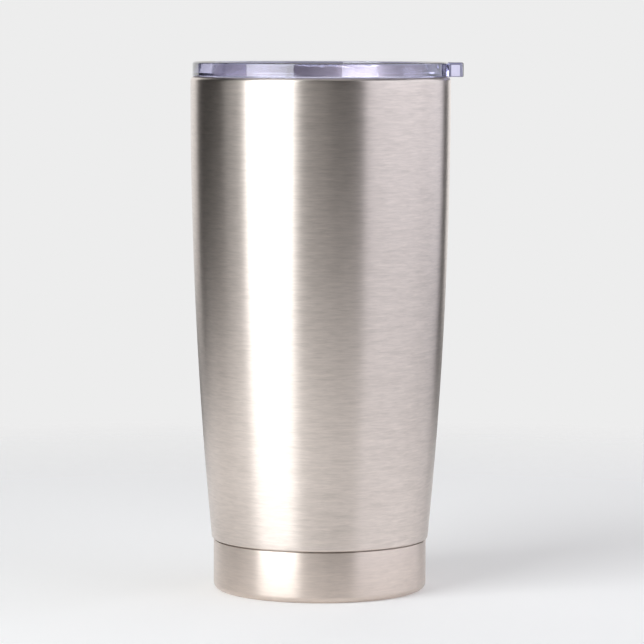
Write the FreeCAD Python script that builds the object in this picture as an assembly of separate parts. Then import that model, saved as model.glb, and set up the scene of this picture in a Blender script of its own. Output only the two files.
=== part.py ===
import FreeCAD, Part
import math
import os

from FreeCAD import Vector

# A vacuum insulated drinking tumbler with a clear press-in lid, in millimetres.
# +Z is up along the tumbler's axis, and the origin is the centre of the ring that it stands on.
# The lid's drinking opening is on the -X side and its lift tab is on the +X side.
# Revolved pieces are drawn as (radius, height) outlines. A third number rounds that corner.

# Whole tumbler
total_height = 175.3
body_radius = 43.1
base_radius = 35.45
seam_height = 17.0
seam_gap = 0.35
shell_wall = 0.5
liner_wall = 0.5
base_wall = 0.5
bond_gap = 0.25
bond_bottom = 5.0
bond_top = 11.0

# The outer wall is upright near the lip, then one long arc draws it in towards the seam.
wall_arc_radius = 1574.0
wall_arc_top = 166.1
wall_arc_bottom = seam_height + 2.6
neck_radius = base_radius - base_wall - bond_gap
neck_bottom = 3.2

# Underside of the base cup: a narrow standing ring, then two steps up towards the middle
base_corner = 2.2
ring_inner_radius = 28.0
base_rise = 1.5
base_centre_rise = 1.9

# Lip and liner
lid_flange_height = 4.9
lip_height = total_height - lid_flange_height
lip_weld_radius = 41.4
lip_outer_rounding = 1.2
lip_inner_rounding = 1.0
mouth_radius = 39.8
liner_arc_radius = 1213.0
liner_arc_top = 152.0
liner_joint = 20.0
liner_floor = 12.6
liner_floor_rise = 0.6
liner_corner = 5.0

# Outer bottom, with the port that the air was drawn out through
plate_height = 6.4
port_dimple_radius = 6.0
port_dimple_rise = 1.4
port_radius = 1.0
solder_depth = 1.1
solder_radius = 4.2

# Getter
getter_radius = 4.0
getter_height = 2.2
getter_offset = 20.0
clip_metal = 0.35
clip_width = 3.0
clip_foot = 3.0
clip_gap = 0.3

# Foil wrap on the liner
foil_thickness = 0.15
foil_clearance = 0.05
foil_bottom = 25.0
foil_top = 148.0

# Lid
flange_radius = 42.6
recess_top_radius = 36.6
recess_radius = 36.0
lid_floor_top = 161.5
lid_floor = 2.0
plug_radius = 39.3
groove_radius = 37.7
groove_top = 166.4
groove_bottom = 162.6
skirt_bottom = 156.6
lid_floor_bottom = lid_floor_top - lid_floor
skirt_inner_radius = 36.0
tab_reach = 47.05
tab_width = 13.0
tab_corner = 1.65
tab_edge = 0.4
tab_root = 1.2
tab_bottom = lip_height + 0.1

# Drinking opening, slide and vent
opening_centre = -28.0
opening_length = 8.6
opening_width = 21.0
opening_corner = 3.9
slider_travel = 13.0
vent_centre = 29.0
vent_radius = 1.5
post_centre = -16.5
post_length = 6.0
post_width = 4.0
slot_clearance = 0.2
slot_corner = 0.3
slider_gap = 0.1
slider_half_width = 12.7
slider_end_radius = 35.3
slider_right = 2.0
slider_bottom = lid_floor_top + 1.0
slider_thickness = 1.8
slider_top = slider_bottom + slider_thickness
seal_pocket = 0.4
seal_margin = 1.6
seal_inset = 0.7
seal_corner = 2.0
guide_gap = 0.3
guide_width = 1.6
guide_height = 1.4
guide_left = -31.0
guide_right = 17.0
keeper_gap = 0.3
keeper_thickness = 1.5
keeper_length = 12.0
keeper_width = 11.0
keeper_top = lid_floor_bottom - keeper_gap
keeper_bottom = keeper_top - keeper_thickness
barb = 0.35
barb_height = 0.9
runner_left = -22.0
runner_right = -0.5
runner_inset = 1.6
runner_width = 1.4
grip_centre = -5.8
grip_width = 4.4
grip_half_length = 8.8
grip_height = 3.9
side_ridge_spacing = 4.7
side_ridge_width = 1.8
side_ridge_half_length = 7.0
side_ridge_height = 1.2

# How far a raised feature is sunk into what it is moulded on, so that the two fuse
overlap = 0.2


def arc_through(start, middle, end):
    return Part.Arc(start, middle, end).toShape()


def at(radius, height):
    return Vector(radius, 0, height)


def corner_arc(before, corner, after, rounding):
    """The arc of this radius that rounds a corner, with the two points where it starts and ends."""
    to_before = (before - corner).normalize()
    to_after = (after - corner).normalize()
    half_angle = to_before.getAngle(to_after) / 2
    setback = rounding / math.tan(half_angle)
    start = corner + to_before * setback
    end = corner + to_after * setback
    towards_centre = (to_before + to_after).normalize()
    middle = corner + towards_centre * (rounding / math.sin(half_angle) - rounding)
    return start, middle, end


def outline_edges(corners, closed):
    """Straight runs between (radius, height[, rounding]) corners, with arcs at the rounded ones."""
    points = [at(corner[0], corner[1]) for corner in corners]
    count = len(points)
    spans = []
    for index, corner in enumerate(corners):
        rounding = corner[2] if len(corner) > 2 else 0
        inside = closed or 0 < index < count - 1
        if rounding and inside:
            following = points[(index + 1) % count]
            spans.append(corner_arc(points[index - 1], points[index], following, rounding))
        else:
            spans.append((points[index], None, points[index]))
    edges = []
    for index, (start, middle, end) in enumerate(spans):
        if middle is not None:
            edges.append(arc_through(start, middle, end))
        if closed or index < count - 1:
            following = spans[(index + 1) % count][0]
            if end.distanceToPoint(following) > 1e-6:
                edges.append(Part.LineSegment(end, following).toShape())
    return edges


def revolved(corners):
    """A solid of revolution about the tumbler's axis from a closed outline."""
    face = Part.Face(Part.Wire(outline_edges(corners, True)))
    return face.revolve(Vector(0, 0, 0), Vector(0, 0, 1), 360)


def revolved_sheet(edges, thickness):
    """A pressed sheet of even thickness, revolved. A positive thickness lies on the path's right."""
    sheet = Part.Wire(edges).makeOffset2D(-thickness, 0, True, True, False)
    return sheet.revolve(Vector(0, 0, 0), Vector(0, 0, 1), 360)


def block(x_low, x_high, y_low, y_high, z_low, z_high):
    return Part.makeBox(x_high - x_low, y_high - y_low, z_high - z_low, Vector(x_low, y_low, z_low))


def rounded_block(x_low, x_high, y_low, y_high, z_low, z_high, corner):
    """A block whose upright edges are rounded."""
    made = block(x_low, x_high, y_low, y_high, z_low, z_high)
    return made.makeFillet(corner, upright_edges(made))


def upright_edges(shape):
    return [e for e in shape.Edges if abs(e.BoundBox.ZLength - e.Length) < 1e-6]


def edges_at_height(shape, height):
    return [
        e
        for e in shape.Edges
        if abs(e.BoundBox.ZMin - height) < 1e-6 and abs(e.BoundBox.ZMax - height) < 1e-6
    ]


def drawn_in(height, top_radius, arc_top, arc_radius):
    """Radius of a wall that is upright down to arc_top and then follows one long arc inwards."""
    return top_radius - (arc_radius - math.sqrt(arc_radius**2 - (arc_top - height) ** 2))


def outer_radius(height):
    return drawn_in(height, body_radius, wall_arc_top, wall_arc_radius)


def liner_radius(height):
    return drawn_in(height, mouth_radius, liner_arc_top, liner_arc_radius)


def long_arc(radius_at, top, bottom):
    heights = (top, (top + bottom) / 2, bottom)
    return arc_through(*[at(radius_at(height), height) for height in heights])


def radius_below(radius_at, height, arc_top, arc_radius, low):
    """Radius at a low height on the straight line that leaves a long arc at this height."""
    slope = (arc_top - height) / math.sqrt(arc_radius**2 - (arc_top - height) ** 2)
    return radius_at(height) - slope * (height - low)


# Steel body


def outer_shell():
    """Brushed outer wall: curled lip, long tapering wall, and a stepped-in neck for the base cup."""
    lip = outline_edges(
        [
            (lip_weld_radius, lip_height),
            (body_radius, lip_height, lip_outer_rounding),
            (body_radius, wall_arc_top),
        ],
        False,
    )
    hem_radius = radius_below(outer_radius, wall_arc_bottom, wall_arc_top, wall_arc_radius, seam_height)
    step = outline_edges(
        [
            (outer_radius(wall_arc_bottom), wall_arc_bottom),
            (hem_radius, seam_height, 0.65),
            (neck_radius, seam_height, 0.3),
            (neck_radius, neck_bottom),
        ],
        False,
    )
    return revolved_sheet(lip + [long_arc(outer_radius, wall_arc_top, wall_arc_bottom)] + step, shell_wall)


def base_cup():
    """Brushed cap over the shell's neck. It stands on a narrow ring, and its middle is pressed upwards."""
    path = outline_edges(
        [
            (base_radius, seam_height - seam_gap),
            (base_radius, 0, base_corner),
            (ring_inner_radius, 0, 1.2),
            (ring_inner_radius - 2, base_rise, 1.2),
            (13.0, base_rise, 1.0),
            (12.0, base_centre_rise, 1.0),
            (0, base_centre_rise),
        ],
        False,
    )
    return revolved_sheet(path, base_wall)


def base_bond_ring():
    """Ring of adhesive that holds the base cup to the shell's neck."""
    inner = neck_radius
    outer = neck_radius + bond_gap
    return revolved([(inner, bond_bottom), (outer, bond_bottom), (outer, bond_top), (inner, bond_top)])


def outer_bottom():
    """Pressed plate welded into the neck, with a dimple and the evacuation port at its centre."""
    skirt_radius = neck_radius - 2 * shell_wall
    path = outline_edges(
        [
            (skirt_radius, neck_bottom),
            (skirt_radius, plate_height, 1.6),
            (port_dimple_radius + 1.5, plate_height, 0.8),
            (port_dimple_radius, plate_height + port_dimple_rise, 0.8),
            (port_radius, plate_height + port_dimple_rise),
        ],
        False,
    )
    return revolved_sheet(path, shell_wall)


def vacuum_seal():
    """Drop of solder glass that closes the evacuation port from below."""
    dimple_top = plate_height + port_dimple_rise
    drop = revolved(
        [
            (0, dimple_top),
            (0, dimple_top - solder_depth),
            (solder_radius - 0.6, dimple_top - solder_depth + 0.1, 0.9),
            (solder_radius, dimple_top),
        ]
    )
    stem = Part.makeCylinder(port_radius, shell_wall, at(0, dimple_top))
    return drop.fuse(stem).removeSplitter()


def inner_liner():
    """Drink side wall: flared lip, a straight sealing band for the lid, then a long taper."""
    lip = outline_edges(
        [
            (lip_weld_radius, lip_height),
            (mouth_radius, lip_height, lip_inner_rounding),
            (mouth_radius, liner_arc_top),
        ],
        False,
    )
    return revolved_sheet(lip + [long_arc(liner_radius, liner_arc_top, liner_joint)], -liner_wall)


def liner_bottom():
    """Deep dished bottom, butt welded to the liner's lower edge."""
    corner_radius = radius_below(liner_radius, liner_joint, liner_arc_top, liner_arc_radius, liner_floor)
    path = outline_edges(
        [
            (liner_radius(liner_joint), liner_joint),
            (corner_radius, liner_floor, liner_corner),
            (20.0, liner_floor, 3.0),
            (18.0, liner_floor + liner_floor_rise, 3.0),
            (0, liner_floor + liner_floor_rise),
        ],
        False,
    )
    return revolved_sheet(path, -liner_wall)


def radiation_foil():
    """Foil wrap on the vacuum side of the liner, which reflects heat back."""
    inside = liner_wall + foil_clearance
    outside = inside + foil_thickness

    def beside_liner(distance):
        return long_arc(lambda height: liner_radius(height) + distance, foil_top, foil_bottom)

    edges = [beside_liner(inside), beside_liner(outside)]
    for height in (foil_top, foil_bottom):
        radius = liner_radius(height)
        edges.append(Part.LineSegment(at(radius + inside, height), at(radius + outside, height)).toShape())
    face = Part.Face(Part.Wire(Part.__sortEdges__(edges)))
    return face.revolve(Vector(0, 0, 0), Vector(0, 0, 1), 360)


def getter_pellet():
    """Sintered pellet that soaks up stray gas in the vacuum space."""
    floor = plate_height + shell_wall
    pellet = Part.makeCylinder(getter_radius, getter_height, Vector(getter_offset, 0, floor))
    return pellet.makeFillet(0.3, edges_at_height(pellet, floor + getter_height))


def getter_clip():
    """Spring strap over the pellet, spot welded to the outer bottom at its two feet."""
    floor = plate_height + shell_wall
    top = floor + getter_height
    reach = getter_radius + clip_gap
    half = clip_width / 2

    def strap(y_low, y_high, z_low, z_high):
        return block(getter_offset - half, getter_offset + half, y_low, y_high, z_low, z_high)

    clip = strap(-reach - clip_metal, reach + clip_metal, top, top + clip_metal)
    for side in (-1, 1):
        near = side * reach
        far = side * (reach + clip_metal)
        end = side * (reach + clip_foot)
        clip = clip.fuse(strap(min(near, far), max(near, far), floor, top + clip_metal))
        clip = clip.fuse(strap(min(near, end), max(near, end), floor, floor + clip_metal))
    return clip.removeSplitter()


# Lid


def lid_blank():
    """Flange, plug with its gasket groove, skirt, and the deep recess in the top."""
    return revolved(
        [
            (0, lid_floor_bottom),
            (skirt_inner_radius - 0.2, lid_floor_bottom, 0.8),
            (skirt_inner_radius, skirt_bottom, 0.5),
            (groove_radius - 0.1, skirt_bottom, 0.5),
            (groove_radius + 0.2, groove_bottom - 2.2, 0.6),
            (plug_radius - 0.2, groove_bottom - 1.2, 0.3),
            (plug_radius - 0.2, groove_bottom),
            (groove_radius, groove_bottom),
            (groove_radius, groove_top),
            (plug_radius, groove_top, 0.3),
            (plug_radius, lip_height, 0.3),
            (flange_radius, lip_height, 0.55),
            (flange_radius, total_height, 0.4),
            (recess_top_radius, total_height, 0.6),
            (recess_radius, lid_floor_top, 1.0),
            (0, lid_floor_top),
        ]
    )


def lift_tab():
    """Finger tab on the flange for pulling the lid out."""
    root = flange_radius - tab_root
    half_width = tab_width / 2
    tab = rounded_block(root, tab_reach, -half_width, half_width, tab_bottom, total_height, tab_corner)
    rims = edges_at_height(tab, total_height) + edges_at_height(tab, tab_bottom)
    return tab.makeFillet(tab_edge, [e for e in rims if e.BoundBox.XMax > flange_radius])


def through_floor(x_low, x_high, half_width, corner):
    """Cutter for a rounded hole through the lid's floor."""
    low = lid_floor_bottom - 1
    high = lid_floor_top + 1
    return rounded_block(x_low, x_high, -half_width, half_width, low, high, corner)


def drinking_opening():
    half_length = opening_length / 2
    return through_floor(
        opening_centre - half_length, opening_centre + half_length, opening_width / 2, opening_corner
    )


def slider_slot():
    """Slot in the lid's floor that the slider's post runs in, as long as the post and its travel."""
    reach = post_length / 2 + slot_clearance
    half_width = post_width / 2 + slot_clearance
    return through_floor(post_centre - reach, post_centre + reach + slider_travel, half_width, slot_corner)


def guide_rib(side):
    """One of the two ribs on the lid's floor that keep the slider straight."""
    near = side * (slider_half_width + guide_gap)
    far = side * (slider_half_width + guide_gap + guide_width)
    low = min(near, far)
    top = lid_floor_top + guide_height
    rib = rounded_block(guide_left, guide_right, low, low + guide_width, lid_floor_top - 0.5, top, 0.7)
    return rib.makeFillet(0.3, edges_at_height(rib, top))


def lid_body():
    """Clear moulded lid. The drinking opening, the slot and the vent go through its floor."""
    lid = lid_blank().fuse(lift_tab())
    for side in (-1, 1):
        lid = lid.fuse(guide_rib(side))
    vent = Part.makeCylinder(vent_radius, lid_floor + 2, at(vent_centre, lid_floor_bottom - 1))
    return lid.cut(drinking_opening()).cut(slider_slot()).cut(vent).removeSplitter()


def lid_gasket():
    """Soft ring in the plug's groove, with two fins that wipe the liner's sealing band."""
    inner = groove_radius + 0.05
    body = groove_radius + 0.9
    fin = mouth_radius - 0.18
    low = groove_bottom + 0.1
    high = groove_top - 0.1
    outline = [(inner, low)]
    for fin_low in (low, low + 2.0):
        outline += [(body, fin_low, 0.15), (fin, fin_low + 0.75, 0.25), (body, fin_low + 1.35, 0.15)]
    return revolved(outline + [(body, high, 0.15), (inner, high)])


# Slider


def seal_outline(z_low, z_high):
    """The pad's shape: wider than the drinking opening, and rounded like the slider at its outer end."""
    right = opening_centre + opening_length / 2 + seal_margin
    half_width = opening_width / 2 + seal_margin
    pad = block(-slider_end_radius, right, -half_width, half_width, z_low, z_high)
    pad = pad.common(Part.makeCylinder(slider_end_radius - seal_inset, z_high - z_low, at(0, z_low)))
    return pad.makeFillet(seal_corner, upright_edges(pad))


def slider_plate():
    plate = block(
        -slider_end_radius, slider_right, -slider_half_width, slider_half_width, slider_bottom, slider_top
    )
    plate = plate.common(Part.makeCylinder(slider_end_radius, slider_thickness, at(0, slider_bottom)))
    plate = plate.makeFillet(2.5, upright_edges(plate))
    plate = plate.makeFillet(0.5, edges_at_height(plate, slider_top))
    return plate.cut(seal_outline(slider_bottom, slider_bottom + seal_pocket))


def slider_runner(side):
    """One of the two runners that carry the slider on the lid's floor."""
    low = side * (slider_half_width - runner_inset) - runner_width / 2
    bottom = lid_floor_top + slider_gap
    top = slider_bottom + overlap
    return rounded_block(runner_left, runner_right, low, low + runner_width, bottom, top, 0.6)


def grip_ridge(centre, width, half_length, height):
    """A rounded ridge across the slider that the thumb pushes."""
    low = centre - width / 2
    top = slider_top + height
    ridge = rounded_block(
        low, low + width, -half_length, half_length, slider_top - overlap, top, width * 0.45
    )
    return ridge.makeFillet(0.5, edges_at_height(ridge, top))


def slider_post():
    """Post through the lid's slot, with a chamfered barb at each end of its foot."""
    left = post_centre - post_length / 2
    right = post_centre + post_length / 2
    half_width = post_width / 2
    foot = keeper_bottom - barb_height
    post = block(left, right, -half_width, half_width, foot, slider_bottom + overlap)
    hook = block(left - barb, right + barb, -half_width, half_width, foot, keeper_bottom)
    foot_ends = [e for e in edges_at_height(hook, foot) if e.BoundBox.XLength < 1e-6]
    return post.fuse(hook.makeChamfer(barb - 0.1, foot_ends))


def slider():
    """Clear sliding closure: plate, thumb grip, two runners, and a post with a barb below the floor."""
    shape = slider_plate()
    for side in (-1, 1):
        shape = shape.fuse(slider_runner(side))
    shape = shape.fuse(grip_ridge(grip_centre, grip_width, grip_half_length, grip_height))
    for side in (-1, 1):
        centre = grip_centre + side * side_ridge_spacing
        shape = shape.fuse(grip_ridge(centre, side_ridge_width, side_ridge_half_length, side_ridge_height))
    return shape.fuse(slider_post()).removeSplitter()


def slider_keeper():
    """Plate under the lid's floor, pressed over the slider's post and held by its barb."""

    def around_post(length, width, low, high):
        left = post_centre - length / 2
        return block(left, left + length, -width / 2, width / 2, low, high)

    keeper = around_post(keeper_length, keeper_width, keeper_bottom, keeper_top)
    keeper = keeper.makeFillet(2.0, upright_edges(keeper))
    return keeper.cut(around_post(post_length, post_width, keeper_bottom - 1, keeper_top + 1))


def slider_seal():
    """Soft pad bonded under the slider, which covers the drinking opening."""
    bottom = lid_floor_top + slider_gap
    pad = seal_outline(bottom, slider_bottom + seal_pocket)
    return pad.makeFillet(0.25, edges_at_height(pad, bottom))


sub_parts = [
    outer_shell,
    base_cup,
    base_bond_ring,
    outer_bottom,
    vacuum_seal,
    inner_liner,
    liner_bottom,
    radiation_foil,
    getter_pellet,
    getter_clip,
    lid_body,
    lid_gasket,
    slider,
    slider_keeper,
    slider_seal,
]

os.makedirs("parts", exist_ok=True)
for make in sub_parts:
    solid = make()
    solid.exportStep(f"parts/{make.__name__}.step")
    box = solid.BoundBox
    print(
        f"{make.__name__:16} valid {solid.isValid()} solids {len(solid.Solids)}"
        f" volume {solid.Volume / 1000:7.3f} cm3, z {box.ZMin:.2f} to {box.ZMax:.2f}"
    )
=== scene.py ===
import math

import bmesh
import bpy
from mathutils import Matrix, Vector


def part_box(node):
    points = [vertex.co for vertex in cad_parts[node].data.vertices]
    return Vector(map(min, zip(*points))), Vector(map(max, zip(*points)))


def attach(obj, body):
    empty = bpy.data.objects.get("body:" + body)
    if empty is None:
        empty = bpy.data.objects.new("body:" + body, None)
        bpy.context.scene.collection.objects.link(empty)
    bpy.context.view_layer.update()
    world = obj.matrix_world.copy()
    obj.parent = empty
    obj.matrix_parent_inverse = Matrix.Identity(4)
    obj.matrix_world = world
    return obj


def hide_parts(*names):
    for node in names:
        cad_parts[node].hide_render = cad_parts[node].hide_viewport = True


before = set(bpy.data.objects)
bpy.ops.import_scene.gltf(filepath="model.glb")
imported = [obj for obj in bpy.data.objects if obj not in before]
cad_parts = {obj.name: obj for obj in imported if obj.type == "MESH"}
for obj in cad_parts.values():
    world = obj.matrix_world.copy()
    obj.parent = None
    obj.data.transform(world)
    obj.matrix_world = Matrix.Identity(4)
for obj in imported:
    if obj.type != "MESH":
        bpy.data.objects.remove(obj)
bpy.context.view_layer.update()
mm = 0.001
print("frame loaded:", len(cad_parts), "nodes")

shellLow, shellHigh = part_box("outer_shell")
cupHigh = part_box("base_cup")[1]
lidLow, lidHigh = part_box("lid_body")
gasketLow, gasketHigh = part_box("lid_gasket")
sliderLow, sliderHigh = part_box("slider")
keeperLow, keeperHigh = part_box("slider_keeper")
sealLow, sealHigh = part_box("slider_seal")
lipHeight = shellHigh.z
topHeight = lidHigh.z


class Value:
    # wraps a socket, so that shader maths reads as plain expressions
    def __init__(self, shader, socket):
        self.shader = shader
        self.socket = socket

    def maths(self, operation, *terms):
        made = self.shader.node("ShaderNodeMath", {"operation": operation}, dict(enumerate(terms)))
        return made["Value"]

    def __add__(self, other):
        return self.maths("ADD", self, other)

    def __sub__(self, other):
        return self.maths("SUBTRACT", self, other)

    def __rsub__(self, other):
        return self.maths("SUBTRACT", other, self)

    def __mul__(self, other):
        return self.maths("MULTIPLY", self, other)

    __radd__ = __add__
    __rmul__ = __mul__


class Made:
    # a finished node, whose outputs are read by name
    def __init__(self, shader, node):
        self.shader = shader
        self.node = node

    def __getitem__(self, name):
        return Value(self.shader, self.node.outputs[name])


class Shader:
    # one material's nodes, made by name with their settings and the values or links of their sockets
    def __init__(self, name):
        self.material = bpy.data.materials.new(name)
        self.material.use_nodes = True
        self.tree = self.material.node_tree
        self.tree.nodes.clear()

    def node(self, kind, settings=None, inputs=None):
        node = self.tree.nodes.new(kind)
        for key, value in (settings or {}).items():
            setattr(node, key, value)
        for key, value in (inputs or {}).items():
            if isinstance(value, Value):
                self.tree.links.new(value.socket, node.inputs[key])
            else:
                node.inputs[key].default_value = value
        return Made(self, node)

    def place(self, scale):
        # object coordinates, stretched by a different amount along each axis
        coordinates = self.node("ShaderNodeTexCoord")["Object"]
        return self.node("ShaderNodeMapping", None, {"Vector": coordinates, "Scale": scale})["Vector"]

    def noise(self, scale, detail=2.0, roughness=0.5, distortion=0.0):
        settings = {"Vector": self.place(scale), "Scale": 1.0, "Detail": detail}
        settings.update({"Roughness": roughness, "Distortion": distortion})
        return self.node("ShaderNodeTexNoise", None, settings)["Fac"]

    def between(self, value, low, high):
        # 0 below low, 1 above high and straight in between
        inputs = {"Value": value, "From Min": low, "From Max": high}
        return self.node("ShaderNodeMapRange", None, inputs)["Result"]

    def mix(self, factor, first, second):
        # sockets 6 and 7 are the node's two colours, and output 2 is its mixed colour
        return self.node("ShaderNodeMix", {"data_type": "RGBA"}, {0: factor, 6: first, 7: second})[2]

    def bump(self, height, strength, distance):
        inputs = {"Strength": strength, "Distance": distance, "Height": height}
        return self.node("ShaderNodeBump", None, inputs)["Normal"]

    def finish(self, surface, volume=None):
        out = self.tree.nodes.new("ShaderNodeOutputMaterial")
        self.tree.links.new(surface.socket, out.inputs["Surface"])
        if volume:
            self.tree.links.new(volume.socket, out.inputs["Volume"])
        return self.material


def brushedSteel(name, look):
    # scratches run round the axis, so reflections spread up and down but stay sharp across
    steel = Shader(name)
    fine = steel.noise(look["fineStroke"], 3.0, 0.6, 0.5)
    bold = steel.noise(look["boldStroke"], 2.0, 0.5, 0.4)
    patches = steel.noise(look["patches"])
    grain = fine * look["fineShare"] + bold * (1 - look["fineShare"])
    tone = steel.between(grain, 0.3, 0.7)
    rough = look["roughness"] + (grain - 0.5) * look["roughSwing"] + (patches - 0.5) * look["patchSwing"]
    settings = {
        "Base Color": steel.mix(tone, look["darkLine"], look["brightLine"]),
        "Metallic": 1.0,
        "Roughness": rough,
        "Anisotropic": look["anisotropy"],
        "Anisotropic Rotation": look["turn"],
        "Normal": steel.bump(grain, 1.0, look["depth"]),
    }
    return steel.finish(steel.node("ShaderNodeBsdfPrincipled", None, settings)["BSDF"])


brushedLook = {
    "fineStroke": (230.0, 230.0, 1700.0),
    "boldStroke": (100.0, 100.0, 900.0),
    "fineShare": 0.6,
    "patches": (22.0, 22.0, 9.0),
    "patchSwing": 0.02,
    "darkLine": (0.63, 0.56, 0.51, 1),
    "brightLine": (0.81, 0.722, 0.662, 1),
    "roughness": 0.345,
    "roughSwing": 0.06,
    "depth": 0.004 * mm,
    "anisotropy": 0.78,
    "turn": 0.25,
}
capLook = {**brushedLook, "darkLine": (0.64, 0.556, 0.50, 1), "brightLine": (0.77, 0.67, 0.60, 1)}
linerLook = {
    **brushedLook,
    "fineStroke": (90.0, 90.0, 1500.0),
    "boldStroke": (30.0, 30.0, 260.0),
    "roughness": 0.34,
    "roughSwing": 0.05,
    "anisotropy": 0.5,
    "depth": 0.002 * mm,
}


def clearPlastic(name, look):
    # polished moulding with faint flow waves and a few handling scuffs
    plastic = Shader(name)
    waves = plastic.noise(look["flow"], 2.0, 0.5, 0.6)
    rubbed = plastic.between(plastic.noise(look["scuffSize"], 4.0, 0.7), *look["scuffRange"])
    settings = {
        "Base Color": look["colour"],
        "Roughness": look["roughness"] + rubbed * look["scuffing"],
        "IOR": look["ior"],
        "Specular IOR Level": look["shine"],
        "Transmission Weight": 1.0,
        "Coat Weight": look["coat"],
        "Coat Roughness": look["coatRoughness"],
        "Coat IOR": look["coatIor"],
        "Normal": plastic.bump(waves, 0.6, look["waveDepth"]),
    }
    surface = plastic.node("ShaderNodeBsdfPrincipled", None, settings)["BSDF"]
    # light passes through to what lies below, so the cup isn't dark under its lid
    shadow = plastic.node("ShaderNodeLightPath")["Is Shadow Ray"]
    through = plastic.node("ShaderNodeBsdfTransparent", None, {"Color": look["shadow"]})["BSDF"]
    mixed = plastic.node("ShaderNodeMixShader", None, {0: shadow, 1: surface, 2: through})["Shader"]
    tint = {"Color": look["tint"], "Density": look["density"]}
    return plastic.finish(mixed, plastic.node("ShaderNodeVolumeAbsorption", None, tint)["Volume"])


lidLook = {
    "colour": (0.97, 0.97, 1.0, 1),
    "roughness": 0.015,
    "scuffing": 0.05,
    "scuffSize": (420.0, 160.0, 300.0),
    "scuffRange": (0.62, 0.78),
    "flow": (45.0, 45.0, 240.0),
    "waveDepth": 0.08 * mm,
    "ior": 1.55,
    "shine": 1.0,
    "coat": 0.35,
    "coatRoughness": 0.02,
    "coatIor": 1.7,
    "tint": (0.76, 0.75, 0.95, 1),
    "shadow": (0.93, 0.93, 0.96, 1),
    "density": 80.0,
}
sliderLook = {**lidLook, "density": 60.0}


def moulded(name, look):
    # soft or matt pieces: silicone, adhesive and fused glass, told apart by their values
    piece = Shader(name)
    speckle = piece.noise((look["grain"],) * 3, 3.0, 0.6)
    cloud = piece.noise(look["cloud"])
    settings = {
        "Base Color": piece.mix(cloud, look["dark"], look["light"]),
        "Metallic": look["metallic"],
        "Roughness": look["roughness"] + (speckle - 0.5) * look["roughSwing"],
        "Normal": piece.bump(speckle, 0.5, look["depth"]),
    }
    return piece.finish(piece.node("ShaderNodeBsdfPrincipled", None, settings)["BSDF"])


siliconeLook = {
    "grain": 1800.0,
    "cloud": (90.0, 90.0, 90.0),
    "dark": (0.66, 0.67, 0.71, 1),
    "light": (0.75, 0.76, 0.79, 1),
    "roughness": 0.45,
    "roughSwing": 0.15,
    "depth": 0.01 * mm,
    "metallic": 0.0,
}
adhesiveLook = {**siliconeLook, "dark": (0.05, 0.05, 0.055, 1), "light": (0.08, 0.08, 0.085, 1)}
solderGlassLook = {**adhesiveLook, "roughness": 0.15, "grain": 900.0}
getterLook = {**adhesiveLook, "roughness": 0.85, "grain": 4000.0, "depth": 0.03 * mm}
foilLook = {
    **siliconeLook,
    "dark": (0.78, 0.78, 0.80, 1),
    "light": (0.88, 0.88, 0.89, 1),
    "metallic": 1.0,
    "roughness": 0.2,
    "grain": 300.0,
    "depth": 0.05 * mm,
}

steelMaterial = brushedSteel("brushed_steel_wall", brushedLook)
capMaterial = brushedSteel("brushed_steel_cap", capLook)
linerMaterial = brushedSteel("satin_liner_steel", linerLook)
lidMaterial = clearPlastic("clear_lid_plastic", lidLook)
sliderMaterial = clearPlastic("clear_slider_plastic", sliderLook)
siliconeMaterial = moulded("silicone", siliconeLook)
print("materials made")


def deselect():
    if bpy.context.object and bpy.context.object.mode != "OBJECT":
        bpy.ops.object.mode_set(mode="OBJECT")
    bpy.ops.object.select_all(action="DESELECT")


def roundCorners(corners, closed):
    # corners are (radius, height), and a third number is the radius of an arc that rounds that corner
    points = []
    count = len(corners)
    for index, corner in enumerate(corners):
        here = Vector(corner[:2])
        rounding = corner[2] if len(corner) > 2 else 0
        if not rounding or not (closed or 0 < index < count - 1):
            points.append(here)
            continue
        toBefore = (Vector(corners[index - 1][:2]) - here).normalized()
        toAfter = (Vector(corners[(index + 1) % count][:2]) - here).normalized()
        half = toBefore.angle(toAfter) / 2
        centre = here + (toBefore + toAfter).normalized() * (rounding / math.sin(half))
        start = here + toBefore * (rounding / math.tan(half)) - centre
        end = here + toAfter * (rounding / math.tan(half)) - centre
        turn = math.atan2(start.x * end.y - start.y * end.x, start.dot(end))
        steps = max(2, round(abs(turn) / math.radians(15)))
        for step in range(steps + 1):
            points.append(centre + Matrix.Rotation(turn * step / steps, 2) @ start)
    return points


def turned(name, points, steps=240, closed=True):
    # one vertex is drawn out along the outline, and the outline is spun round the axis
    deselect()
    bpy.ops.mesh.primitive_plane_add(size=mm)
    piece = bpy.context.object
    piece.name = name
    bpy.ops.object.mode_set(mode="EDIT")
    bpy.ops.mesh.select_mode(type="VERT")
    bpy.ops.mesh.merge(type="CENTER")
    here = points[0]
    bpy.ops.transform.translate(value=(here.x, 0, here.y))
    for point in points[1:] + (points[:1] if closed else []):
        step = point - here
        if step.length < 1e-7:
            continue
        bpy.ops.mesh.extrude_vertices_move(TRANSFORM_OT_translate={"value": (step.x, 0, step.y)})
        here = point
    bpy.ops.mesh.select_all(action="SELECT")
    bpy.ops.mesh.remove_doubles(threshold=1e-7)
    bpy.ops.mesh.spin(steps=steps, angle=math.tau, center=(0, 0, 0), axis=(0, 0, 1))
    bpy.ops.mesh.select_all(action="SELECT")
    bpy.ops.mesh.remove_doubles(threshold=1e-6)
    bpy.ops.mesh.normals_make_consistent(inside=False)
    bpy.ops.object.mode_set(mode="OBJECT")
    return piece


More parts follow.
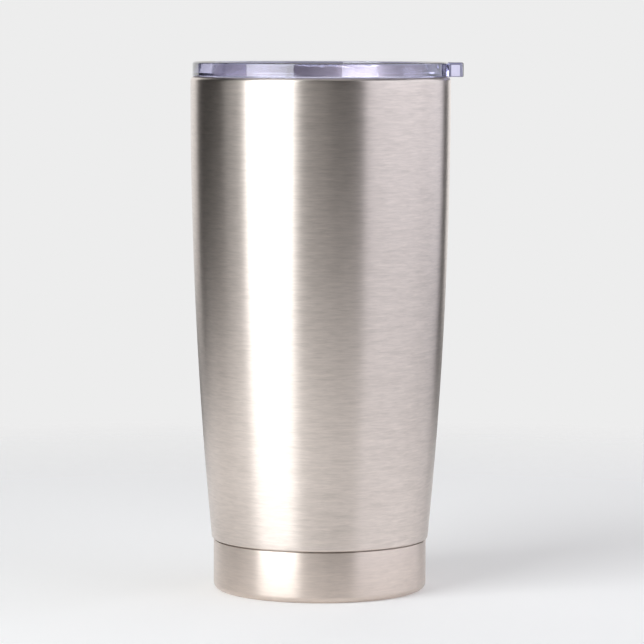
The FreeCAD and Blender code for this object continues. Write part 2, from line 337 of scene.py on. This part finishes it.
def selectIn(piece, kind, test):
    # in edit mode, selects the faces, edges or vertices whose middle passes the test
    deselect()
    bpy.context.view_layer.objects.active = piece
    piece.select_set(True)
    bpy.ops.object.mode_set(mode="EDIT")
    bpy.ops.mesh.select_mode(type=kind)
    bpy.ops.mesh.select_all(action="DESELECT")
    mesh = bmesh.from_edit_mesh(piece.data)
    parts = {"VERT": mesh.verts, "EDGE": mesh.edges, "FACE": mesh.faces}[kind]
    found = 0
    for part in parts:
        middle = part.co if kind == "VERT" else sum((v.co for v in part.verts), Vector()) / len(part.verts)
        if test(middle, part):
            part.select_set(True)
            found += 1
    mesh.select_flush_mode()
    bmesh.update_edit_mesh(piece.data)
    return found


def centreOf(low, high):
    return (Vector(low) + Vector(high)) / 2


def levelAt(e, height):
    # whether a face or edge lies flat at this height
    return all(abs(v.co.z - height) < 1e-6 for v in e.verts)


def roundedBlock(name, low, high, corner, edge=0, segments=6):
    # a cube with its upright edges rounded, and then its top and bottom rims if edge is given
    deselect()
    size = Vector(high) - Vector(low)
    bpy.ops.mesh.primitive_cube_add(size=1, location=centreOf(low, high), scale=size)
    piece = bpy.context.object
    piece.name = name
    bpy.ops.object.transform_apply(location=True, rotation=True, scale=True)
    selectIn(piece, "EDGE", lambda middle, e: abs(e.verts[0].co.z - e.verts[1].co.z) > size.z / 2)
    bpy.ops.mesh.bevel(offset=corner, segments=segments, profile=0.5)
    if edge:
        selectIn(piece, "EDGE", lambda middle, e: levelAt(e, high[2]) or levelAt(e, low[2]))
        bpy.ops.mesh.bevel(offset=edge, segments=4, profile=0.5)
    bpy.ops.object.mode_set(mode="OBJECT")
    return piece


def combine(piece, other, operation="UNION"):
    # adds or cuts away the other piece, which is then deleted
    deselect()
    bpy.context.view_layer.objects.active = piece
    modifier = piece.modifiers.new(operation.lower(), "BOOLEAN")
    modifier.operation = operation
    modifier.solver = "EXACT"
    modifier.object = other
    bpy.ops.object.modifier_apply(modifier=modifier.name)
    bpy.data.objects.remove(other)


def finished(piece, material, body, node, smooth):
    # smooth is the angle in degrees above which an edge stays sharp
    deselect()
    bpy.context.view_layer.objects.active = piece
    piece.select_set(True)
    bpy.ops.object.shade_smooth_by_angle(angle=math.radians(smooth))
    piece.data.materials.clear()
    piece.data.materials.append(material)
    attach(piece, body)
    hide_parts(node)
    deselect()
    print("finished", piece.name, len(piece.data.polygons), "faces")


wall = {
    "radius": shellHigh.x,
    "thickness": 0.5 * mm,
    "arcRadius": 1574 * mm,
    "arcTop": 166.1 * mm,
    "lipRounding": 1.2 * mm,
    "weldRadius": 41.4 * mm,
    "seam": 17.0 * mm,
    "hemRounding": 0.65 * mm,
    "neckRadius": 34.7 * mm,
    "hemHeight": 2.6 * mm,  # the curved rows stop this far above the seam
    "rows": 48,
}


def drawnIn(height, topRadius, arcTop, arcRadius):
    # radius of a wall that is upright above arcTop and follows one long arc inwards below it
    drop = max(0.0, arcTop - height)
    return topRadius - (arcRadius - math.sqrt(arcRadius**2 - drop**2))


def outerRadius(height):
    return drawnIn(height, wall["radius"], wall["arcTop"], wall["arcRadius"])


def makeOuterWall():
    thick, seam = wall["thickness"], wall["seam"]
    seamRadius = outerRadius(seam)
    hemTop = seam + wall["hemHeight"]
    heights = [
        wall["arcTop"] + (hemTop - wall["arcTop"]) * row / wall["rows"] for row in range(wall["rows"] + 1)
    ]
    corners = [(wall["weldRadius"], lipHeight), (wall["radius"], lipHeight, wall["lipRounding"])]
    corners += [(outerRadius(height), height) for height in heights]
    corners += [
        (seamRadius, seam, wall["hemRounding"]),
        (wall["neckRadius"], seam, 0.3 * mm),
        (wall["neckRadius"], shellLow.z),
        (wall["neckRadius"] - thick, shellLow.z),
        (wall["neckRadius"] - thick, seam + thick, 0.8 * mm),
        (seamRadius - thick, seam + thick, 0.15 * mm),
    ]
    corners += [(outerRadius(height) - thick, height) for height in heights[::-4]]
    corners += [
        (wall["radius"] - thick, lipHeight - thick, 0.7 * mm),
        (wall["weldRadius"], lipHeight - thick),
    ]
    piece = turned("outer_wall", roundCorners(corners, True), 256)
    finished(piece, steelMaterial, "tumbler", "outer_shell", 40)


cap = {
    "radius": cupHigh.x,
    "top": cupHigh.z,
    "thickness": 0.5 * mm,
    "cornerRounding": 2.2 * mm,
    "ringInner": 28.0 * mm,  # it stands on a flat ring from here outwards
    "dishOuter": 26.0 * mm,
    "dishInner": 13.0 * mm,
    "rise": 1.5 * mm,
    "centreRadius": 12.0 * mm,
    "centreRise": 1.9 * mm,
    "rimRounding": 0.12 * mm,
}


def makeBaseCap():
    r, t, rise, mid = cap["radius"], cap["thickness"], cap["rise"], cap["centreRise"]
    corners = [
        (r, cap["top"], cap["rimRounding"]),
        (r, 0, cap["cornerRounding"]),
        (cap["ringInner"], 0, 1.2 * mm),
        (cap["dishOuter"], rise, 1.2 * mm),
        (cap["dishInner"], rise, 1.0 * mm),
        (cap["centreRadius"], mid, 1.0 * mm),
        (0, mid),
        (0, mid + t),
        (cap["centreRadius"], mid + t, 0.5 * mm),
        (cap["dishInner"], rise + t, 0.5 * mm),
        (cap["dishOuter"], rise + t, 0.7 * mm),
        (cap["ringInner"], t, 0.7 * mm),
        (r - t, t, cap["cornerRounding"] - t),
        (r - t, cap["top"], cap["rimRounding"]),
    ]
    piece = turned("base_cap", roundCorners(corners, True), 256)
    finished(piece, capMaterial, "tumbler", "base_cup", 40)


liner = {
    "radius": 39.8 * mm,
    "thickness": 0.5 * mm,
    "arcRadius": 1213 * mm,
    "arcTop": 152 * mm,
    "joint": 20 * mm,
    "floor": 12.6 * mm,
    "corner": 5.0 * mm,
    "dishOuter": 20.0 * mm,
    "dishInner": 18.0 * mm,
    "dishRise": 0.6 * mm,
    "dishRounding": 3.0 * mm,
    "rows": 32,
}


def linerRadius(height):
    return drawnIn(height, liner["radius"], liner["arcTop"], liner["arcRadius"])


def makeLinerWall():
    t = liner["thickness"]
    inner = [(wall["weldRadius"], lipHeight), (liner["radius"], lipHeight, 1.0 * mm)]
    outer = []
    for row in range(liner["rows"] + 1):
        height = liner["arcTop"] + (liner["joint"] - liner["arcTop"]) * row / liner["rows"]
        inner.append((linerRadius(height), height))
        outer.insert(0, (linerRadius(height) + t, height))
    outer += [(liner["radius"] + t, lipHeight - t, 0.5 * mm), (wall["weldRadius"], lipHeight - t)]
    piece = turned("liner_wall", roundCorners(inner + outer, True), 240)
    finished(piece, linerMaterial, "tumbler", "inner_liner", 40)


def makeLinerFloor():
    joint, floor, t = liner["joint"], liner["floor"], liner["thickness"]
    drop = liner["arcTop"] - joint
    slope = drop / math.sqrt(liner["arcRadius"] ** 2 - drop**2)
    corner = linerRadius(joint) - slope * (joint - floor)
    raised, soft = floor + liner["dishRise"], liner["dishRounding"]
    corners = [
        (linerRadius(joint), joint),
        (corner, floor, liner["corner"]),
        (liner["dishOuter"], floor, soft),
        (liner["dishInner"], raised, soft),
        (0, raised),
        (0, raised - t),
        (liner["dishInner"], raised - t, soft),
        (liner["dishOuter"], floor - t, soft),
        (corner + t, floor - t, liner["corner"] + t),
        (linerRadius(joint) + t, joint),
    ]
    piece = turned("liner_floor", roundCorners(corners, True), 240)
    finished(piece, linerMaterial, "tumbler", "liner_bottom", 40)


makeOuterWall()
makeBaseCap()
makeLinerWall()
makeLinerFloor()


lid = {
    "flangeRadius": -lidLow.x,
    "lipGap": 0.03 * mm,
    "recessTop": 36.6 * mm,
    "recess": 36.0 * mm,
    "floorTop": 161.5 * mm,
    "floor": 2.0 * mm,
    "plug": 39.3 * mm,
    "groove": 37.7 * mm,
    "grooveTop": 166.4 * mm,
    "grooveBottom": 162.6 * mm,
    "skirtInner": 36.0 * mm,
    "skirtBottom": lidLow.z,
    "tabReach": lidHigh.x,
    "tabWidth": 13.0 * mm,
    "tabCorner": 1.65 * mm,
    "tabEdge": 0.45 * mm,
    "tabOverlap": 1.2 * mm,
    "floorCut": 34.8 * mm,  # the floor is closed by flat faces inside this radius
    "ventCentre": 29.0 * mm,
    "ventRadius": 1.5 * mm,
}
opening = {
    "centre": -28.0 * mm,
    "length": 8.6 * mm,
    "width": 21.0 * mm,
    "corner": 3.9 * mm,
    "edge": 0.35 * mm,
}
slide = {
    "travel": 13.0 * mm,
    "postCentre": -16.5 * mm,
    "postLength": 6.0 * mm,
    "postWidth": 4.0 * mm,
    "slotGap": 0.2 * mm,
    "halfWidth": sliderHigh.y,
    "endRadius": -sliderLow.x,
    "right": sliderHigh.x,
    "bottom": 162.5 * mm,
    "thickness": 1.8 * mm,
    "guideGap": 0.3 * mm,
    "guideWidth": 1.6 * mm,
    "guideHeight": 1.4 * mm,
    "guideLeft": -31.0 * mm,
    "guideRight": 17.0 * mm,
}


def fillRim(piece, radius, height):
    # closes a round opening with one flat face
    def onRim(middle, e):
        onCircle = all(abs(v.co.xy.length - radius) < 1e-6 for v in e.verts)
        return e.is_boundary and onCircle and levelAt(e, height)

    selectIn(piece, "EDGE", onRim)
    bpy.ops.mesh.edge_face_add()
    bpy.ops.object.mode_set(mode="OBJECT")


def turnLid(low, top, floorBottom, floorTop):
    # the flange, the plug with its groove, the skirt, the recess and the floor are one turned shape
    belowGroove = lid["plug"] - 0.2 * mm
    corners = [
        (lid["floorCut"], floorBottom),
        (lid["skirtInner"] - 0.2 * mm, floorBottom, 0.5 * mm),
        (lid["skirtInner"], lid["skirtBottom"], 0.5 * mm),
        (lid["groove"] - 0.1 * mm, lid["skirtBottom"], 0.5 * mm),
        (lid["groove"] + 0.2 * mm, lid["grooveBottom"] - 2.2 * mm, 0.6 * mm),
        (belowGroove, lid["grooveBottom"] - 1.2 * mm, 0.3 * mm),
        (belowGroove, lid["grooveBottom"], 0.1 * mm),
        (lid["groove"], lid["grooveBottom"], 0.1 * mm),
        (lid["groove"], lid["grooveTop"], 0.1 * mm),
        (lid["plug"], lid["grooveTop"], 0.3 * mm),
        (lid["plug"], low, 0.3 * mm),
        (lid["flangeRadius"], low, 0.55 * mm),
        (lid["flangeRadius"], top, 0.6 * mm),
        (lid["recessTop"], top, 0.4 * mm),
        (lid["recess"], floorTop, 1.0 * mm),
        (lid["floorCut"], floorTop),
    ]
    piece = turned("clear_lid", roundCorners(corners, False), 256, closed=False)
    fillRim(piece, lid["floorCut"], floorTop)
    fillRim(piece, lid["floorCut"], floorBottom)
    selectIn(piece, "FACE", lambda middle, f: True)
    bpy.ops.mesh.normals_make_consistent(inside=False)
    bpy.ops.object.mode_set(mode="OBJECT")
    return piece


def addTab(piece, low, top):
    half = lid["tabWidth"] / 2
    near = (lid["flangeRadius"] - lid["tabOverlap"], -half, low + 0.1 * mm)
    far = (lid["tabReach"], half, top)
    combine(piece, roundedBlock("tab", near, far, lid["tabCorner"], lid["tabEdge"]))


def addGuides(piece, floorTop):
    # a rib on each side of the slider
    near = slide["halfWidth"] + slide["guideGap"]
    for side in (-1, 1):
        edges = sorted((side * near, side * (near + slide["guideWidth"])))
        low = (slide["guideLeft"], edges[0], floorTop - 0.5 * mm)
        high = (slide["guideRight"], edges[1], floorTop + slide["guideHeight"])
        combine(piece, roundedBlock("rib", low, high, 0.7 * mm, 0.3 * mm))


def cutHoles(piece, floorBottom, floorTop):
    # the drinking opening, the slot that the slider's post runs in, and the vent
    below, above = floorBottom - mm, floorTop + mm
    half, reach = opening["width"] / 2, opening["length"] / 2
    low, high = (opening["centre"] - reach, -half, below), (opening["centre"] + reach, half, above)
    combine(piece, roundedBlock("cutter", low, high, opening["corner"], segments=10), "DIFFERENCE")
    reach = slide["postLength"] / 2 + slide["slotGap"]
    half = slide["postWidth"] / 2 + slide["slotGap"]
    low = (slide["postCentre"] - reach, -half, below)
    high = (slide["postCentre"] + reach + slide["travel"], half, above)
    combine(piece, roundedBlock("cutter", low, high, 0.3 * mm), "DIFFERENCE")
    deselect()
    middle = (lid["ventCentre"], 0, floorTop - mm)
    bpy.ops.mesh.primitive_cylinder_add(
        vertices=40, radius=lid["ventRadius"], depth=2 * lid["floor"], location=middle
    )
    vent = bpy.context.object
    bpy.ops.object.transform_apply(location=True, rotation=True, scale=True)
    combine(piece, vent, "DIFFERENCE")


def softenOpening(piece, floorBottom, floorTop):
    halfLength, halfWidth = opening["length"] / 2, opening["width"] / 2

    def onRim(middle, e):
        level = levelAt(e, floorTop) or levelAt(e, floorBottom)
        within = abs(middle.x - opening["centre"]) < halfLength + 1e-6 and abs(middle.y) < halfWidth + 1e-6
        return level and within and len(e.link_faces) == 2 and e.calc_face_angle(0) > 1

    found = selectIn(piece, "EDGE", onRim)
    bpy.ops.mesh.bevel(offset=opening["edge"], segments=3, profile=0.5)
    bpy.ops.object.mode_set(mode="OBJECT")
    print("opening rim edges rounded:", found)


def makeLid():
    top, low, floorTop = topHeight, lipHeight + lid["lipGap"], lid["floorTop"]
    floorBottom = floorTop - lid["floor"]
    piece = turnLid(low, top, floorBottom, floorTop)
    addTab(piece, low, top)
    addGuides(piece, floorTop)
    cutHoles(piece, floorBottom, floorTop)
    softenOpening(piece, floorBottom, floorTop)
    finished(piece, lidMaterial, "lid", "lid_body", 30)


gasket = {
    "inner": 37.75 * mm,
    "body": 38.6 * mm,
    "finSpacing": 2.0 * mm,
    "finMiddle": 0.75 * mm,
    "finHeight": 1.35 * mm,
    "finTip": 0.25 * mm,
    "rounding": 0.15 * mm,
}


def makeGasket():
    # a ring with two fins that press on the cup's wall
    inner, body, soft = gasket["inner"], gasket["body"], gasket["rounding"]
    low, high = gasketLow.z, gasketHigh.z
    corners = [(inner, low)]
    for finLow in (low, low + gasket["finSpacing"]):
        corners += [
            (body, finLow, soft),
            (gasketHigh.x, finLow + gasket["finMiddle"], gasket["finTip"]),
            (body, finLow + gasket["finHeight"], soft),
        ]
    corners += [(body, high, soft), (inner, high)]
    piece = turned("gasket_ring", roundCorners(corners, True), 200)
    finished(piece, siliconeMaterial, "gasket", "lid_gasket", 40)


makeLid()
makeGasket()


def slabOf(name, radius, low, high, right, half):
    # a disc trimmed by flat cuts at the right and at both sides
    deselect()
    bpy.ops.mesh.primitive_cylinder_add(
        vertices=180, radius=radius, depth=high - low, location=(0, 0, (low + high) / 2)
    )
    piece = bpy.context.object
    piece.name = name
    bpy.ops.object.transform_apply(location=True, rotation=True, scale=True)
    bpy.ops.object.mode_set(mode="EDIT")
    cuts = [((right, 0, 0), (1, 0, 0)), ((0, half, 0), (0, 1, 0)), ((0, -half, 0), (0, -1, 0))]
    for place, normal in cuts:
        bpy.ops.mesh.select_all(action="SELECT")
        bpy.ops.mesh.bisect(plane_co=place, plane_no=normal, use_fill=True, clear_outer=True)
    bpy.ops.object.mode_set(mode="OBJECT")
    return piece


def roundUprights(piece, offset):
    def upright(middle, e):
        return abs(e.verts[0].co.z - e.verts[1].co.z) > 0.5 * mm and e.calc_face_angle(0) > 0.5

    selectIn(piece, "EDGE", upright)
    bpy.ops.mesh.bevel(offset=offset, segments=6, profile=0.5)
    bpy.ops.object.mode_set(mode="OBJECT")


def roundRim(piece, height, offset):
    selectIn(piece, "EDGE", lambda middle, e: levelAt(e, height) and e.calc_face_angle(0) > 1)
    bpy.ops.mesh.bevel(offset=offset, segments=4, profile=0.5)
    bpy.ops.object.mode_set(mode="OBJECT")


grip = {
    "centre": -5.8 * mm,
    "width": 4.4 * mm,
    "halfLength": 8.8 * mm,
    "spacing": 4.7 * mm,
    "sideWidth": 1.8 * mm,
    "sideHalfLength": 7.0 * mm,
    "sideHeight": 1.2 * mm,
    "rounding": 0.5 * mm,
    "sunk": 0.2 * mm,  # how far added blocks reach into the slab
}
runner = {
    "left": -22.0 * mm,
    "right": -0.5 * mm,
    "inset": 1.6 * mm,
    "halfWidth": 0.7 * mm,
    "floorGap": 0.1 * mm,
    "corner": 0.6 * mm,
}
hook = {"reach": 0.35 * mm, "inset": 0.1 * mm, "floorGap": 0.01 * mm, "catchGap": 0.02 * mm}
pad = {
    "inset": 0.7 * mm,
    "margin": 1.6 * mm,
    "corner": 2.0 * mm,
    "pocket": 0.4 * mm,
    "gap": 0.03 * mm,
    "rounding": 0.25 * mm,
}


def padSlab(name, low, high, shrink=0.0):
    right = opening["centre"] + opening["length"] / 2 + pad["margin"] - shrink
    half = opening["width"] / 2 + pad["margin"] - shrink
    piece = slabOf(name, slide["endRadius"] - pad["inset"] - shrink, low, high, right, half)
    roundUprights(piece, pad["corner"])
    return piece


def addRunners(piece, low):
    # two runners under the slab keep it clear of the lid's floor
    for side in (-1, 1):
        middle = side * (slide["halfWidth"] - runner["inset"])
        under = lid["floorTop"] + runner["floorGap"]
        near = (runner["left"], middle - runner["halfWidth"], under)
        far = (runner["right"], middle + runner["halfWidth"], low + grip["sunk"])
        combine(piece, roundedBlock("runner", near, far, runner["corner"]))


def addRidges(piece, high):
    # one tall ridge for the thumb, with a lower one on each side
    ridges = [(0, grip["width"], grip["halfLength"], sliderHigh.z)]
    for side in (-1, 1):
        sideTop = high + grip["sideHeight"]
        ridges.append((side * grip["spacing"], grip["sideWidth"], grip["sideHalfLength"], sideTop))
    for offset, width, half, ridgeTop in ridges:
        left = grip["centre"] + offset - width / 2
        near, far = (left, -half, high - grip["sunk"]), (left + width, half, ridgeTop)
        ridge = roundedBlock("ridge", near, far, width * 0.45)
        roundRim(ridge, ridgeTop, grip["rounding"])
        combine(piece, ridge)


def addPost(piece, low):
    # the post passes through the slot in the lid, and its hook holds the snap plate
    left = slide["postCentre"] - slide["postLength"] / 2
    right = left + slide["postLength"]
    half = slide["postWidth"] / 2
    near, far = (left, -half, sliderLow.z), (right, half, low + grip["sunk"])
    combine(piece, roundedBlock("post", near, far, 0.15 * mm))
    half -= hook["inset"]
    near = (left - hook["reach"], -half, sliderLow.z + hook["floorGap"])
    far = (right + hook["reach"], half, keeperLow.z - hook["catchGap"])
    combine(piece, roundedBlock("hook", near, far, 0.1 * mm))


def makeSlider():
    low = slide["bottom"]
    high = low + slide["thickness"]
    piece = slabOf("thumb_slider", slide["endRadius"], low, high, slide["right"], slide["halfWidth"])
    roundUprights(piece, 2.5 * mm)
    roundRim(piece, high, grip["rounding"])
    combine(piece, padSlab("cutter", low - mm, low + pad["pocket"]), "DIFFERENCE")
    addRunners(piece, low)
    addRidges(piece, high)
    addPost(piece, low)
    finished(piece, sliderMaterial, "slider", "slider", 30)


keeper = {"corner": 2.0 * mm, "edge": 0.25 * mm, "postGap": 0.02 * mm, "holeCorner": 0.17 * mm}


def makeKeeper():
    piece = roundedBlock("slider_catch", keeperLow, keeperHigh, keeper["corner"], keeper["edge"])
    reach = slide["postLength"] / 2 + keeper["postGap"]
    half = slide["postWidth"] / 2 + keeper["postGap"]
    near = (slide["postCentre"] - reach, -half, keeperLow.z - mm)
    far = (slide["postCentre"] + reach, half, keeperHigh.z + mm)
    combine(piece, roundedBlock("cutter", near, far, keeper["holeCorner"]), "DIFFERENCE")
    finished(piece, sliderMaterial, "slider", "slider_keeper", 30)


def makeSeal():
    piece = padSlab("slider_pad", sealLow.z, sealHigh.z - pad["gap"], pad["gap"])
    roundRim(piece, sealLow.z, pad["rounding"])
    finished(piece, siliconeMaterial, "slider", "slider_seal", 30)


makeSlider()
makeKeeper()
makeSeal()

# the rest can't be seen with the tumbler whole, and keeps its shape
hidden = {
    "base_bond_ring": moulded("adhesive", adhesiveLook),
    "outer_bottom": linerMaterial,
    "vacuum_seal": moulded("solder_glass", solderGlassLook),
    "radiation_foil": moulded("bright_foil", foilLook),
    "getter_pellet": moulded("sintered_getter", getterLook),
    "getter_clip": linerMaterial,
}
for node, material in hidden.items():
    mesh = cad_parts[node].data
    mesh.materials.clear()
    mesh.materials.append(material)
print("hidden pieces painted")


studio = {
    "floorSize": 8.0,
    "fadeFrom": 0.3,  # the floor fades into the backdrop from here
    "fadeTo": 0.5,
    "backdrop": (0.847, 0.847, 0.847, 1),
    "ambient": (0.02, 0.02, 0.02, 1),
    "throughPlastic": (0.29, 0.29, 0.34, 1),
    "floorColour": (0.8, 0.79, 0.785, 1),
    "floorGlow": 0.22,
    "overheadSize": 1.2,
    "overheadHeight": 1.6,
    "overheadGlow": 0.8,
}


def makeFloor():
    deselect()
    bpy.ops.mesh.primitive_plane_add(size=studio["floorSize"], location=(0, 0, -0.05 * mm))
    floor = bpy.context.object
    floor.name = "floor"
    shade = Shader("pale_floor")
    place = shade.place((1, 1, 1))
    away = shade.node("ShaderNodeVectorMath", {"operation": "LENGTH"}, {0: place})["Value"]
    fade = shade.between(away, studio["fadeFrom"], studio["fadeTo"])
    settings = {
        "Base Color": studio["floorColour"],
        "Roughness": 0.75,
        "Specular IOR Level": 0.2,
        "Emission Color": (1, 1, 1, 1),
        "Emission Strength": studio["floorGlow"],
    }
    matt = shade.node("ShaderNodeBsdfPrincipled", None, settings)["BSDF"]
    clear = shade.node("ShaderNodeBsdfTransparent")["BSDF"]
    mixed = shade.node("ShaderNodeMixShader", None, {0: fade, 1: matt, 2: clear})["Shader"]
    floor.data.materials.append(shade.finish(mixed))


def makeWorld():
    # the camera sees a pale backdrop, reflections see a dim room, and clear plastic a paler one
    world = bpy.data.worlds.new("studio")
    bpy.context.scene.world = world
    world.use_nodes = True
    tree = world.node_tree
    tree.nodes.clear()
    out = tree.nodes.new("ShaderNodeOutputWorld")
    rays = tree.nodes.new("ShaderNodeLightPath")
    last = tree.nodes.new("ShaderNodeBackground")
    last.inputs["Color"].default_value = studio["ambient"]
    for ray, key in (("Is Transmission Ray", "throughPlastic"), ("Is Camera Ray", "backdrop")):
        glow = tree.nodes.new("ShaderNodeBackground")
        glow.inputs["Color"].default_value = studio[key]
        mix = tree.nodes.new("ShaderNodeMixShader")
        tree.links.new(rays.outputs[ray], mix.inputs[0])
        tree.links.new(last.outputs[0], mix.inputs[1])
        tree.links.new(glow.outputs[0], mix.inputs[2])
        last = mix
    tree.links.new(last.outputs[0], out.inputs[0])


# Soft boxes and cards stand round the object, each as its bearings from and to, its height, its
# distance, its glow and its tint. Bearing 0 is towards the camera and 90 is to its right.
cards = {
    "edge": (-92, -68, 1.3, 0.9, 0.37, (0.95, 0.98, 1)),
    "key": (-67.7, -23.6, 1.3, 0.9, 4.5, (0.94, 0.98, 1)),
    "spill": (-22, 8, 1.0, 1.3, 0.17, (1, 1, 1)),
    "right": (38.7, 100, 1.0, 0.8, 1.2, (0.98, 1, 1.1)),
    "side": (100, 135, 1.0, 0.9, 1.1, (0.98, 1, 1.1)),
    "back": (152, 175, 1.2, 1.2, 1.2, (1, 1, 1)),
    "rear": (175, 185, 1.2, 1.2, 0.5, (1, 0.96, 0.93)),
    "left": (185, 220.5, 1.2, 1.2, 1.0, (1, 1, 1)),
}
notThroughPlastic = ("back", "rear", "left")
# panels that only show through the clear plastic
panels = {
    "behind": (171, 184.6, 0.3, 1.2, 0.72, (1, 0.98, 0.93)),
    "beside": (206, 250, 1.0, 1.2, 0.6, (1, 0.98, 0.93)),
}
lowEdge = {"behind": 0.07, "beside": -0.6}  # the others start at the floor
# boards that lie on the floor and glow upwards
boards = {
    "frontBoard": ((0.5, 0.16), (-0.1, -0.21, 0.001), 0.5),
    "leftBoard": ((0.2, 0.34), (-0.24, 0.03, 0.001), 0.6),
}


def makeLight(name, size, glow, place, turn, tint=(1, 1, 1)):
    # an even rectangle of light, which the camera itself doesn't see
    data = bpy.data.lights.new(name, "AREA")
    data.shape = "RECTANGLE"
    data.size, data.size_y = size
    data.color = tint
    data.energy = glow * math.pi * size[0] * size[1]
    light = bpy.data.objects.new(name, data)
    bpy.context.scene.collection.objects.link(light)
    light.location = place
    light.rotation_euler = turn
    light.visible_camera = False
    return light


def makeLights():
    for name, (start, end, high, away, glow, tint) in {**cards, **panels}.items():
        middle, half = math.radians((start + end) / 2), math.radians((end - start) / 2)
        size = (2 * away * math.tan(half), high)
        height = lowEdge.get(name, 0) + high / 2
        place = (away * math.sin(middle), -away * math.cos(middle), height)
        light = makeLight(name, size, glow, place, (math.pi / 2, 0, middle), tint)
        light.visible_transmission = name not in notThroughPlastic
        light.visible_glossy = light.visible_diffuse = name in cards
    for name, (size, place, glow) in boards.items():
        makeLight(name, size, glow, place, (math.pi, 0, 0))
    side = studio["overheadSize"]
    makeLight("overhead", (side, side), studio["overheadGlow"], (0, 0, studio["overheadHeight"]), (0, 0, 0))


view = {
    "away": 1.1624,
    "height": 0.1864,
    "aside": 0.00036,
    "down": 4.79,
    "roll": -0.137,
    "lens": 195.93,
}


def makeCamera():
    data = bpy.data.cameras.new("camera")
    data.lens = view["lens"]
    data.sensor_width = 36
    camera = bpy.data.objects.new("camera", data)
    bpy.context.scene.collection.objects.link(camera)
    camera.location = (view["aside"], -view["away"], view["height"])
    camera.rotation_euler = (math.radians(90 - view["down"]), math.radians(view["roll"]), 0)
    bpy.context.scene.camera = camera


makeFloor()
makeWorld()
makeLights()
makeCamera()
bpy.context.scene.view_settings.view_transform = "Standard"
print("studio ready")
